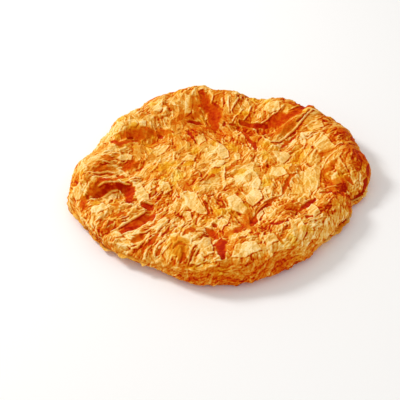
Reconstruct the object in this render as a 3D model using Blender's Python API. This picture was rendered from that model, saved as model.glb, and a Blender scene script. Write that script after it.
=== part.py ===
"""Feteer meshaltet: a round layered butter pastry, baked whole and left uncut.

One solid of dough. It is a flat round about 29 cm across and 3 cm high, with a raised
puffy rim that is pleated and scalloped all round, a slightly sunk and crumpled middle,
folds and hollows where the top sheet has lifted or torn, and thin leaves that part at
the side. It lies on a flat underside.

Frame: metres, +Z up, +X to the viewer's right, +Y away from the viewer. The origin is
the middle of the box's underside. Plan angles run anticlockwise from +X, in degrees.
"""

import math

import bmesh
import bpy
import numpy as np
from mathutils import Vector, noise

MM = 0.001

# Sizes of the whole pastry, in millimetres
MIDDLE_HEIGHT = 20.0
CREST_INSET = 19.0
RIM_FOOT_INSET = 64.0
SHOULDER_SHARE = 0.74
SHOULDER_INSET = 2.5
UNDERSIDE_INSET = 8.0
BELLY_HEIGHT = 0.42

# The rim, as its scallops' crests and the notches between them:
# plan angle, reach from the middle and crest height in millimetres
RIM = (
    (4, 142.0, 28), (12, 142.5, 29), (27, 142.0, 29), (31, 139.5, 27),
    (39, 140.0, 30), (45, 136.5, 29), (53, 139.0, 31), (59, 137.5, 28),
    (66, 135.0, 24), (73, 136.0, 25), (80, 139.0, 30), (88, 139.5, 32),
    (94, 147.0, 34), (100, 146.5, 32), (106, 146.5, 32), (114, 148.0, 32),
    (123, 142.0, 30), (136, 139.5, 31), (143, 134.5, 29), (160, 132.0, 29),
    (166, 138.5, 28), (170, 140.5, 29), (180, 141.5, 29), (189, 145.5, 27),
    (198, 138.0, 25), (224, 136.0, 25), (234, 134.0, 24), (246, 135.0, 25),
    (258, 144.0, 28), (267, 146.0, 28), (281, 144.0, 28), (302, 137.5, 28),
    (311, 135.5, 27), (322, 135.0, 26), (329, 136.5, 24), (337, 133.5, 23),
    (344, 142.0, 22), (352, 144.0, 25), (358, 144.5, 28),
)

# Where the top sheet stands back from the leaves under it: angle, half width in
# degrees, and how far back in millimetres
SETBACKS = ((343, 9, 8.0), (327, 8, 4.0), (315, 6, 3.0), (190, 9, 4.0), (228, 12, 2.0))

# Leaves that part at the side: angle, half width in degrees, height of the gap as a
# share of the shoulder, and its depth in millimetres. A gap fades over GAP_SPREAD of
# the shoulder's height.
LEAF_GAPS = (
    (340, 11, 0.45, 7.0), (324, 8, 0.40, 5.0), (312, 6, 0.35, 4.0), (232, 16, 0.14, 4.0),
    (206, 12, 0.40, 2.0), (186, 10, 0.50, 2.0), (290, 14, 0.55, 1.2), (20, 14, 0.50, 1.5),
    (60, 10, 0.45, 2.0), (112, 14, 0.50, 2.0), (150, 12, 0.45, 1.8),
)
GAP_SPREAD = 0.17

# Hollows and ridges of the top: both ends of the fold's line, its half width, and its
# depth or height, in millimetres. A fold fades out at FOLD_SPREAD half widths, and
# every fold fades over EDGE_FADE towards the edge of the top sheet.
HOLLOWS = (
    (-4, 114, 3, 70, 13, 6.5),      # trough that runs down from the back of the rim
    (-17, 79, -17, 79, 8, 3.5),     # pocket at its foot
    (-31, 72, -19, 46, 5, 2.5),
    (24, 72, 50, 61, 7, 5.0),       # furrow behind the middle
    (57, 61, 80, 80, 12, 4.5),      # smooth basin at the back right
    (84, 66, 100, 84, 5, 3.5),
    (64, 22, 76, 38, 5, 3.0),
    (33, 46, 45, 28, 5, 2.5),
    (96, -34, 114, -32, 8, 2.5),    # patches inside the right rim
    (98, -52, 116, -50, 8, 3.0),
    (66, -77, 83, -60, 7, 5.0),     # torn slot at the front right
    (44, -83, 64, -78, 6, 3.5),
    (28, -80, 44, -60, 5, 2.5),
    (-12, -90, -3, -122, 8, 5.0),   # notch in the front
    (-88, -85, -64, -66, 9, 5.0),   # basin at the front left
    (-106, -62, -90, -54, 5, 3.0),
    (-108, -80, -97, -74, 5, 2.5),
    (-84, -102, -73, -97, 6, 2.5),
    (-67, -52, -67, -52, 7, 4.0),
    (-122, -29, -93, -23, 9, 6.0),  # deep fold at the left
    (-92, -24, -82, -42, 8, 5.0),
    (-116, 2, -96, 0, 7, 2.5),
    (-88, 11, -84, 8, 10, 3.0),
    (-101, 55, -57, 61, 10, 5.0),   # basin at the back left
)
RIDGES = (
    (64, 48, 104, 82, 5, 4.0),      # long ridge beside the back right basin
    (-121, -8, -84, -13, 6, 3.5),   # lip above the deep fold
    (-43, -117, -43, -117, 13, 2.5),  # blister on the front rim
    (10, -60, -20, -40, 8, 2.0),
    (70, -20, 90, 5, 12, 2.0),
    (-52, -20, -60, 30, 10, 1.5),
)
FOLD_SPREAD = 1.6
EDGE_FADE = 12.0

# Pleats of the rim: first and last angle, how many, and their depth in millimetres.
# They run between two shares of the reach, fade in and out over the shares beside
# them, and each group fades over the same part of its length at both ends.
PLEATS = (
    (54, 88, 7, 2.0), (98, 134, 5, 1.2), (140, 176, 5, 1.2), (197, 262, 15, 2.0),
    (268, 312, 6, 1.0), (318, 372, 7, 1.0),
)
PLEAT_START, PLEAT_FADE_IN = 0.66, 0.14
PLEAT_END, PLEAT_FADE_OUT = 0.99, 0.06
PLEAT_GROUP_FADE = 1 / 6
PLEAT_SHARPNESS = 1.6
PLEAT_VALLEY_SHARE = 0.5
PLEAT_WANDER, PLEAT_WANDER_LENGTH, PLEAT_WANDER_SEED = 4.0, 38.0, 5.2

# Crumpling of the top sheet: wavelength and height in millimetres. The creases stand
# up where the noise crosses zero, and the share keeps the sheet level on the whole.
CRUMPLES = ((40.0, 4.4), (19.0, 3.2))
CRUMPLE_SEED = 7.3
CRUMPLE_CREST_SHARE = 0.28
SWELL_LENGTH, SWELL_HEIGHT, SWELL_SEED = 75.0, 1.8, 2.1

# The side: how far each leaf stands out past the next, and how each leaf's edge
# ripples and drifts from that of the leaf above
LEAF_STEP = 0.55
SIDE_RIPPLE, SIDE_RIPPLE_LENGTH, SIDE_RIPPLE_DRIFT = 2.2, 15.0, 1 / 3

# How finely the surface is cut, and the angle past which an edge looks sharp
TOP_CELLS = 58
SIDE_ROWS = 8
SHARP_ANGLE = 50.0


def closed_curve(angle, column):
    """A smooth closed curve through one column of RIM, read at plan angles."""
    corners = np.array([row[0] for row in RIM], float)
    values = np.array([row[column] for row in RIM], float)
    x = np.concatenate((corners[-2:] - 360, corners, corners[:2] + 360))
    y = np.concatenate((values[-2:], values, values[:2]))
    slope = (y[2:] - y[:-2]) / (x[2:] - x[:-2])
    x, y = x[1:-1], y[1:-1]
    angle = np.mod(angle, 360.0)
    angle = np.where(angle >= x[-1], angle - 360.0, angle)
    left = np.clip(np.searchsorted(x, angle, side="right") - 1, 0, len(x) - 2)
    span = x[left + 1] - x[left]
    t = (angle - x[left]) / span
    return (
        y[left] * (1 + 2 * t) * (1 - t) ** 2
        + y[left + 1] * t**2 * (3 - 2 * t)
        + span * slope[left] * t * (1 - t) ** 2
        - span * slope[left + 1] * t**2 * (1 - t)
    )


def turned(angle, middle):
    """Degrees from middle to angle, the short way round."""
    return np.mod(angle - middle + 180.0, 360.0) - 180.0


def smooth(t):
    t = np.clip(t, 0.0, 1.0)
    return t * t * (3.0 - 2.0 * t)


def hump(distance, half_width):
    """1 on the line and 0 past its spread, with round shoulders."""
    return 1.0 - smooth(distance / (FOLD_SPREAD * half_width))


def distance_to_line(x, y, x0, y0, x1, y1):
    along_x, along_y = x1 - x0, y1 - y0
    length_squared = along_x**2 + along_y**2
    if length_squared == 0:
        return np.hypot(x - x0, y - y0)
    t = np.clip(((x - x0) * along_x + (y - y0) * along_y) / length_squared, 0.0, 1.0)
    return np.hypot(x - x0 - t * along_x, y - y0 - t * along_y)


def noise_field(x, y, wavelength, seed):
    """Smooth gradient noise over the plan, about -1 to 1."""
    return np.array(
        [noise.noise((a / wavelength, b / wavelength, seed)) for a, b in zip(x, y)]
    )


def setback(angle):
    """How far the top sheet's edge stands inside the widest leaf."""
    total = np.full_like(angle, SHOULDER_INSET)
    for middle, half_width, depth in SETBACKS:
        total += depth * hump(np.abs(turned(angle, middle)), half_width)
    return total


def pleat_height(x, y, angle, share):
    """Radial pleats: narrow crests that wander, with wider valleys between them."""
    total = np.zeros_like(angle)
    wander = noise_field(x, y, PLEAT_WANDER_LENGTH, PLEAT_WANDER_SEED)
    angle = angle + PLEAT_WANDER * wander
    window = smooth((share - PLEAT_START) / PLEAT_FADE_IN)
    window *= smooth((PLEAT_END - share) / PLEAT_FADE_OUT)
    for first, last, count, depth in PLEATS:
        t = np.mod(angle - first, 360.0) / (last - first)
        inside = smooth(t / PLEAT_GROUP_FADE) * smooth((1.0 - t) / PLEAT_GROUP_FADE)
        crest = np.abs(np.cos(math.pi * count * t)) ** PLEAT_SHARPNESS
        total += inside * depth * (crest - PLEAT_VALLEY_SHARE)
    return total * window


def top_height(x, y):
    """Height of the top sheet over the plan, all in millimetres."""
    angle = np.degrees(np.arctan2(y, x))
    radius = np.hypot(x, y)
    reach = closed_curve(angle, 1)
    crest = closed_curve(angle, 2)
    back = setback(angle)
    inset = reach - radius
    shoulder = SHOULDER_SHARE * crest
    middle = MIDDLE_HEIGHT + SWELL_HEIGHT * noise_field(x, y, SWELL_LENGTH, SWELL_SEED)

    outer = np.clip((inset - back) / (CREST_INSET - back), 0.0, 1.0)
    inner = smooth((inset - CREST_INSET) / (RIM_FOOT_INSET - CREST_INSET))
    height = shoulder + (crest - shoulder) * np.sin(0.5 * math.pi * outer)
    height = np.where(inset > CREST_INSET, crest + (middle - crest) * inner, height)

    edge = smooth((inset - back) / EDGE_FADE)
    for *line, half_width, depth in HOLLOWS:
        height -= edge * depth * hump(distance_to_line(x, y, *line), half_width)
    for *line, half_width, rise in RIDGES:
        height += edge * rise * hump(distance_to_line(x, y, *line), half_width)
    height += pleat_height(x, y, angle, radius / reach)
    for number, (wavelength, rise) in enumerate(CRUMPLES):
        field = noise_field(x, y, wavelength, CRUMPLE_SEED + number)
        height += edge * rise * (CRUMPLE_CREST_SHARE - np.abs(field))
    return height


def disc_grid(cells):
    """A square grid bent onto a unit disc: each corner's share of the reach and angle."""
    steps = np.linspace(-1.0, 1.0, cells + 1)
    a, b = np.meshgrid(steps, steps, indexing="ij")
    ring = np.maximum(np.abs(a), np.abs(b))
    safe = np.where(ring == 0.0, 1.0, ring)
    quarter = math.pi / 4
    wide = np.where(a > 0, quarter * b / safe, math.pi - quarter * b / safe)
    tall = np.where(b > 0, math.pi / 2 - quarter * a / safe, quarter * a / safe - math.pi / 2)
    return ring, np.where(np.abs(a) >= np.abs(b), wide, tall)


def side_radius(angle, share):
    """Plan radius of the side, where share is 0 at the underside and 1 at the shoulder."""
    above_belly = share > BELLY_HEIGHT
    rise = (share - BELLY_HEIGHT) / (1.0 - BELLY_HEIGHT)
    fall = (BELLY_HEIGHT - share) / BELLY_HEIGHT
    tucked = np.where(above_belly, setback(angle) * rise**2, UNDERSIDE_INSET * fall**2)
    radius = closed_curve(angle, 1) - tucked
    for middle, half_width, height, depth in LEAF_GAPS:
        gap = np.maximum(0.0, 1.0 - np.abs(share - height) / GAP_SPREAD)
        radius -= depth * gap * hump(np.abs(turned(angle, middle)), half_width)
    return radius


def build_pastry():
    """The whole solid: top sheet on a grid, leafy side in rows, flat underside."""
    ring, angle = disc_grid(TOP_CELLS)
    degrees = np.degrees(angle)
    radius = ring * (closed_curve(degrees, 1) - setback(degrees))
    x = (radius * np.cos(angle)).ravel()
    y = (radius * np.sin(angle)).ravel()
    z = top_height(x, y)

    mesh = bmesh.new()
    size = TOP_CELLS + 1
    top = [mesh.verts.new((a * MM, b * MM, c * MM)) for a, b, c in zip(x, y, z)]
    for i in range(TOP_CELLS):
        for j in range(TOP_CELLS):
            corners = (i * size + j, (i + 1) * size + j, (i + 1) * size + j + 1, i * size + j + 1)
            mesh.faces.new([top[k] for k in corners])

    last = TOP_CELLS
    border = [(k, 0) for k in range(last)] + [(last, k) for k in range(last)]
    border += [(last - k, last) for k in range(last)] + [(0, last - k) for k in range(last)]
    above = [top[i * size + j] for i, j in border]
    turn = np.array([degrees[i, j] for i, j in border])
    shoulder = np.array([vertex.co.z for vertex in above])
    across, away = np.cos(np.radians(turn)), np.sin(np.radians(turn))
    for row in range(1, SIDE_ROWS + 1):
        share = np.full_like(turn, 1.0 - row / SIDE_ROWS)
        out = side_radius(turn, share)
        if row < SIDE_ROWS:
            out += LEAF_STEP * (-1) ** row
            drift = row * SIDE_RIPPLE_DRIFT
            ripple = noise_field(out * across, out * away, SIDE_RIPPLE_LENGTH, drift)
            out += SIDE_RIPPLE * ripple * np.sin(math.pi * share)
        places = zip(out * across * MM, out * away * MM, shoulder * share)
        below = [mesh.verts.new(place) for place in places]
        for k in range(len(border)):
            after = (k + 1) % len(border)
            mesh.faces.new((above[after], above[k], below[k], below[after]))
        above = below
    mesh.faces.new(list(reversed(above)))
    return mesh


def centre_on_base(mesh):
    """Moves the plan so that the box's underside is centred on the origin."""
    places = np.array([vertex.co for vertex in mesh.verts])
    middle = (places.min(axis=0) + places.max(axis=0)) / 2
    bmesh.ops.translate(mesh, verts=mesh.verts, vec=Vector((-middle[0], -middle[1], 0.0)))


def browned_crust():
    """Golden baked dough: warm orange-yellow, dull, with no metal in it."""
    material = bpy.data.materials.new("browned crust")
    material.use_nodes = True
    shader = material.node_tree.nodes["Principled BSDF"]
    shader.inputs["Base Color"].default_value = (0.83, 0.43, 0.10, 1.0)
    shader.inputs["Roughness"].default_value = 0.5
    shader.inputs["Metallic"].default_value = 0.0
    return material


for leftover in list(bpy.data.objects):
    bpy.data.objects.remove(leftover, do_unlink=True)

solid = build_pastry()
centre_on_base(solid)
data = bpy.data.meshes.new("feteer")
solid.to_mesh(data)
solid.free()
data.shade_smooth()
data.set_sharp_from_angle(angle=math.radians(SHARP_ANGLE))
data.materials.append(browned_crust())
pastry = bpy.data.objects.new("feteer", data)
bpy.context.scene.collection.objects.link(pastry)
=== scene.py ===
"""The looks of a feteer meshaltet: a round layered butter pastry, baked whole, on a plain floor."""

import math

import bmesh
import bpy
import numpy as np
from mathutils import Matrix, Vector
from mathutils.bvhtree import BVHTree


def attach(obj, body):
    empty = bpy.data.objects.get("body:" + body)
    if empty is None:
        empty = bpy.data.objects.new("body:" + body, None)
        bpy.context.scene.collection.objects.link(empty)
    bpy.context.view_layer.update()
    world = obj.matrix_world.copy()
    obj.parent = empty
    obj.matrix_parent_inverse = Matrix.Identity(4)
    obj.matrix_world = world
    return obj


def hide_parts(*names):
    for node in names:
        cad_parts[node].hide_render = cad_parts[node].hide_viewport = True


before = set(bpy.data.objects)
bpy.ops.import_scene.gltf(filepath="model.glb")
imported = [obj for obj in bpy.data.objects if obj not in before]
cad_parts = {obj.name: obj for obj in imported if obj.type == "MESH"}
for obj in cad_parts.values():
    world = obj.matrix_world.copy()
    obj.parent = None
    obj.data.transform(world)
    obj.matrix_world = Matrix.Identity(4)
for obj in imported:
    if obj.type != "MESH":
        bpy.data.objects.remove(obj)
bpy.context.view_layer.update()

# ---------------------------------------------------------------- the folds of the dough
# The top of the pastry is one sheet of dough stretched as thin as paper, buttered and
# gathered in. It crumples into flat facets of every size with sharp creases between them.
# The creases are relaxed on a flat map of the sheet, as if it were smoothed on a table.

# The map lies under the pastry with its middle at the origin. Lengths are in millimetres
SHEET_WIDTH = 360.0
HALF_SHEET = SHEET_WIDTH / 2
SHEET_CELLS = 900
SHEET_CELL = SHEET_WIDTH / SHEET_CELLS

steps = (np.arange(SHEET_CELLS) + 0.5) * SHEET_CELL - HALF_SHEET
sheet_x, sheet_y = np.meshgrid(steps, steps)
sheet_radius = np.hypot(sheet_x, sheet_y)
sheet_angle = np.arctan2(sheet_y, sheet_x)
waves_y = 2j * np.pi * np.fft.fftfreq(SHEET_CELLS, SHEET_CELL)[:, None]
waves_x = 2j * np.pi * np.fft.rfftfreq(SHEET_CELLS, SHEET_CELL)[None, :]
waves_squared = -(waves_x**2 + waves_y**2).real


def to_waves(field):
    """The waves that add up to a field of the sheet."""
    return np.fft.rfft2(field)


def from_waves(waves):
    """The field of the sheet that those waves add up to."""
    return np.fft.irfft2(waves, s=(SHEET_CELLS, SHEET_CELLS))


def blurred(field, length):
    """The field with everything shorter than about this length smoothed away."""
    return from_waves(to_waves(field) * np.exp(-waves_squared * (length / 4) ** 2 / 2))


def cloudy(seed, length):
    """Soft seeded noise of that grain over the sheet, with a spread of 1."""
    speckle = np.random.default_rng(seed).standard_normal((SHEET_CELLS, SHEET_CELLS))
    cloud = blurred(speckle, length)
    return cloud / cloud.std()


def smooth(t):
    """A soft step from 0 to 1 as t goes from 0 to 1."""
    t = np.clip(t, 0.0, 1.0)
    return t * t * (3.0 - 2.0 * t)


def spot(x, y, half_width):
    """A soft round spot on the sheet, 1 in its middle."""
    return np.exp(-((sheet_x - x) ** 2 + (sheet_y - y) ** 2) / half_width**2)


def between_cells(field, column, row):
    """Reads a field at places between its cells, the sheet wrapping round at its edges."""
    left, low = np.floor(column).astype(int), np.floor(row).astype(int)
    across, up = column - left, row - low
    left, low = left % SHEET_CELLS, low % SHEET_CELLS
    right, high = (left + 1) % SHEET_CELLS, (low + 1) % SHEET_CELLS
    near = field[low, left] * (1 - across) + field[low, right] * across
    far = field[high, left] * (1 - across) + field[high, right] * across
    return near * (1 - up) + far * up


STRIDE = 1.2
LEAST_STRIDES = 4


def drawn_out(field, length, lie):
    """Smears a field along the lie of the creases, into strands of about that length."""
    strides = max(LEAST_STRIDES, int(length / 2 / STRIDE))
    stride_cells = length / 2 / strides / SHEET_CELL
    way_x, way_y = np.cos(lie), np.sin(lie)
    total = field.copy()
    for side in (stride_cells, -stride_cells):
        row, column = np.indices(field.shape).astype(float)
        for stride in range(1, strides + 1):
            go_x = between_cells(way_x, column, row)
            go_y = between_cells(way_y, column, row)
            column, row = column + side * go_x, row + side * go_y
            weight = math.cos(stride / (strides + 1) * math.pi / 2) ** 2
            total += weight * between_cells(field, column, row)
    return (total - total.mean()) / total.std()


STEEPNESS = 0.5
START_HEIGHT = 0.05
START_STRETCH = 1.4


def crumpled(seed, lengths, edge, rounds, lie, slack):
    """Crumples the sheet into facets of those widths, their creases as sharp as edge.

    Each round lets the slope of the sheet drift towards one fixed steepness, either way
    up, while stiffness rounds the bends. lie is the way the creases run, and slack is how
    readily the sheet also folds across them.
    """
    steep_squared = STEEPNESS**2
    stiffness = (STEEPNESS * edge) ** 2 / 2
    pace = 2.0 / steep_squared
    guard = 2.0 * steep_squared
    along_x, along_y = np.cos(lie), np.sin(lie)
    pull_xx = along_y**2 + slack * along_x**2
    pull_xy = (slack - 1.0) * along_x * along_y
    pull_yy = along_x**2 + slack * along_y**2
    settle = 1 + pace * (guard * waves_squared + stiffness * waves_squared**2)
    height = np.zeros_like(lie)
    for k, length in enumerate(lengths):
        strands = drawn_out(cloudy(seed + k, length), START_STRETCH * length, lie)
        height += START_HEIGHT * length * strands
    waves = to_waves(height)
    for _ in range(rounds):
        slope_x, slope_y = from_waves(waves_x * waves), from_waves(waves_y * waves)
        force_x = pull_xx * slope_x + pull_xy * slope_y
        force_y = pull_xy * slope_x + pull_yy * slope_y
        steepness = np.minimum(slope_x * force_x + slope_y * force_y, 4 * steep_squared)
        excess = steepness - steep_squared
        push = waves_x * to_waves(excess * force_x) + waves_y * to_waves(excess * force_y)
        waves = (waves + pace * (push + guard * waves_squared * waves)) / settle
    return from_waves(waves)


# How the creases lie: mostly up and to the right, and another way round the places where
# the sheet was pulled another way. Middle, half width, and which way they run, in degrees
DRIFT_ANGLE = 62
DRIFT_WEIGHT = 0.5
LIES = (
    (2, 48, 40, 104), (-24, 70, 24, 118), (48, 42, 24, 110), (84, 56, 28, 47),
    (70, 26, 24, 46), (108, 8, 26, 92), (122, -24, 24, 90), (76, -66, 26, 54),
    (62, -108, 24, 42), (4, -48, 28, 86), (-62, -34, 26, 90), (-102, 4, 22, 22),
    (-98, 26, 14, 170), (-96, 60, 24, 60), (-104, -52, 22, 50), (-78, -92, 26, 48),
    (-40, -98, 24, 66), (-14, 104, 24, 90), (30, 104, 20, 96), (60, 92, 18, 66),
)
TOP_EDGE_RADIUS = 134
TOP_EDGE_WIDTH = 12

drift = np.full_like(sheet_x, DRIFT_WEIGHT) * np.exp(2j * math.radians(DRIFT_ANGLE))
for x, y, half_width, degrees in LIES:
    drift += spot(x, y, half_width) * np.exp(2j * math.radians(degrees))

# Down the side they turn to run round the pastry
over_the_edge = smooth((sheet_radius - TOP_EDGE_RADIUS) / TOP_EDGE_WIDTH)
drift = drift * (1 - over_the_edge) - over_the_edge * np.exp(2j * sheet_angle)
lie = 0.5 * np.angle(drift) + 0.3 * cloudy(3, 60) + 0.3 * cloudy(4, 22)

facets = crumpled(25, (30, 16, 8, 4), edge=0.45, rounds=45, lie=lie, slack=0.5)
facets -= blurred(facets, 90)
facets /= facets.std()


SHARP_PERCENTILE = 97
SHARPEST = 1.5
LOWER_RIGHT = (0.8, -0.6)


def creases(height, width):
    """The thin lines along the tops of the folds and along the bottoms of the hollows."""
    bend = from_waves(-waves_squared * to_waves(blurred(height, width)))
    for side in (-bend, bend):
        yield np.clip(side / np.percentile(side, SHARP_PERCENTILE), 0.0, SHARPEST)


def lean_to_lamp(height, width):
    """How far each place leans to the upper left, towards the lamp, level on the whole, spread of
    1.
    """
    waves = to_waves(blurred(height, width))
    leaning_x, leaning_y = from_waves(waves_x * waves), from_waves(waves_y * waves)
    lean = LOWER_RIGHT[0] * leaning_x + LOWER_RIGHT[1] * leaning_y
    return (lean - lean.mean()) / lean.std()


folds = crumpled(30, (9, 5), edge=0.4, rounds=40, lie=lie, slack=0.45)
folds /= folds.std()
wrinkles = crumpled(31, (4, 2.4), edge=0.35, rounds=35, lie=lie, slack=0.5)
wrinkles /= wrinkles.std()
ridges, grooves = creases(facets, 1.2)
fold_tops, fold_bottoms = creases(folds, 0.8)
wrinkle_tops, wrinkle_bottoms = creases(wrinkles, 0.7)


def scraps(seed, width, stretch, way):
    """Straight-edged scraps of about that width: which scrap each point belongs to."""
    spacing = width * math.sqrt(stretch)
    count = int(SHEET_WIDTH / spacing)
    spacing = SHEET_WIDTH / count
    middles = np.random.default_rng(seed).random((2, count, count))
    column = np.floor((sheet_x + HALF_SHEET) / spacing).astype(int)
    row = np.floor((sheet_y + HALF_SHEET) / spacing).astype(int)
    way_x, way_y = np.cos(way), np.sin(way)
    nearest = np.full_like(sheet_x, np.inf)
    owner = np.zeros(sheet_x.shape, int)
    for i in range(-2, 3):
        for j in range(-2, 3):
            at = (row + i) % count, (column + j) % count
            far_x = sheet_x + HALF_SHEET - (column + j + middles[0][at]) * spacing
            far_y = sheet_y + HALF_SHEET - (row + i + middles[1][at]) * spacing
            along = (far_x * way_x + far_y * way_y) / math.sqrt(stretch)
            across = (far_y * way_x - far_x * way_y) * math.sqrt(stretch)
            far = np.hypot(along, across)
            closer = far < nearest
            nearest = np.where(closer, far, nearest)
            owner = np.where(closer, at[0] * count + at[1], owner)
    return owner


def of_each(seed, owner):
    """One random number for each scrap, with a spread of 1."""
    return np.random.default_rng(seed).standard_normal(owner.max() + 1)[owner]


SHADOW_WIDTH = 1.0


def shaded_side(level):
    """Thin lines where the sheet steps down to the lower right (above 0) or up (below), used for
    painted shadow and painted highlight.
    """
    cells = round(SHADOW_WIDTH / SHEET_CELL)
    return np.roll(level, (-cells, cells), axis=(0, 1)) - level


way = lie + 0.45 * cloudy(60, 14)
owner = scraps(61, 8.0, 2.2, way)
broad_owner = scraps(62, 15.0, 1.7, way)
small_owner = scraps(63, 3.6, 1.8, way)
threads = drawn_out(cloudy(51, 1.3), 4.0, lie + 0.6 * of_each(64, owner))

# Broad hollows where butter gathers and the crust bakes a soft orange, each along a line
# of places on the map: half width, how orange, then the places
WASHES = (
    # trough
    (7.0, 0.9, (-9, 124), (-7, 113), (-4, 103)),
    (9.5, 0.85, (1, 103), (3, 93), (3, 83)),
    (4.5, 0.5, (-18, 115), (-18, 103), (-13, 98)),
    (3.5, 0.5, (-29, 90), (-20, 92), (-13, 96)),
    (3.2, 0.8, (-8, 78), (-1, 77), (6, 79)),
    # basin
    (9.5, 0.9, (58, 67), (67, 71), (76, 73)),
    (6.0, 0.85, (76, 73), (89, 75)),
    (4.5, 0.75, (86, 80), (93, 81), (99, 77)),
    (7.0, 0.5, (59, 49), (69, 52), (80, 58)),
    # left
    (6.5, 0.66, (-122, -26), (-114, -21), (-106, -17)),
    (4.5, 0.55, (-126, -30), (-127, -39)),
    (6.0, 0.6, (-89, 12), (-81, 20)),
    (3.5, 0.55, (-118, 6), (-108, 8), (-98, 10)),
    (3.5, 0.9, (-112, -12), (-105, -11), (-98, -10), (-91, 2)),
    (3.5, 0.6, (-99, -47), (-91, -48)),
    # back left
    (4.5, 0.8, (-102, 54), (-93, 44), (-86, 53), (-77, 58)),
    (8.0, 0.6, (-89, 61), (-74, 67), (-64, 71)),
    (5.0, 0.55, (-59, 69), (-52, 71), (-42, 69)),
    (4.0, 0.5, (-110, 23), (-102, 22)),
    (4.0, 0.6, (-93, 16), (-84, 17), (-76, 19)),
    # front left
    (3.8, 0.65, (-82, -97), (-79, -96), (-73, -94), (-71, -94)),
    (2.8, 0.6, (-35, -97), (-31, -91), (-28, -88)),
    # blister
    (9.0, 0.4, (-43, -106), (-38, -126)),
    # notch
    (4.0, 0.5, (0, -102), (8, -98)),
    (4.6, 0.85, (8, -99), (13, -95), (18, -90)),
    # band
    (5.0, 0.5, (24, -68), (20, -84), (25, -101)),
    # right
    (7.0, 0.5, (97, -36), (105, -40), (115, -34)),
    (4.5, 0.6, (99, -22), (104, -17)),
    (4.5, 0.5, (108, -11), (104, -20)),
    (3.4, 0.5, (99, 4), (106, 6), (111, 7)),
    (8.0, 0.3, (123, 39), (129, 16), (132, -7)),
    # middle
    (3.6, 0.6, (9, -2), (18, 5)),
)
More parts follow.
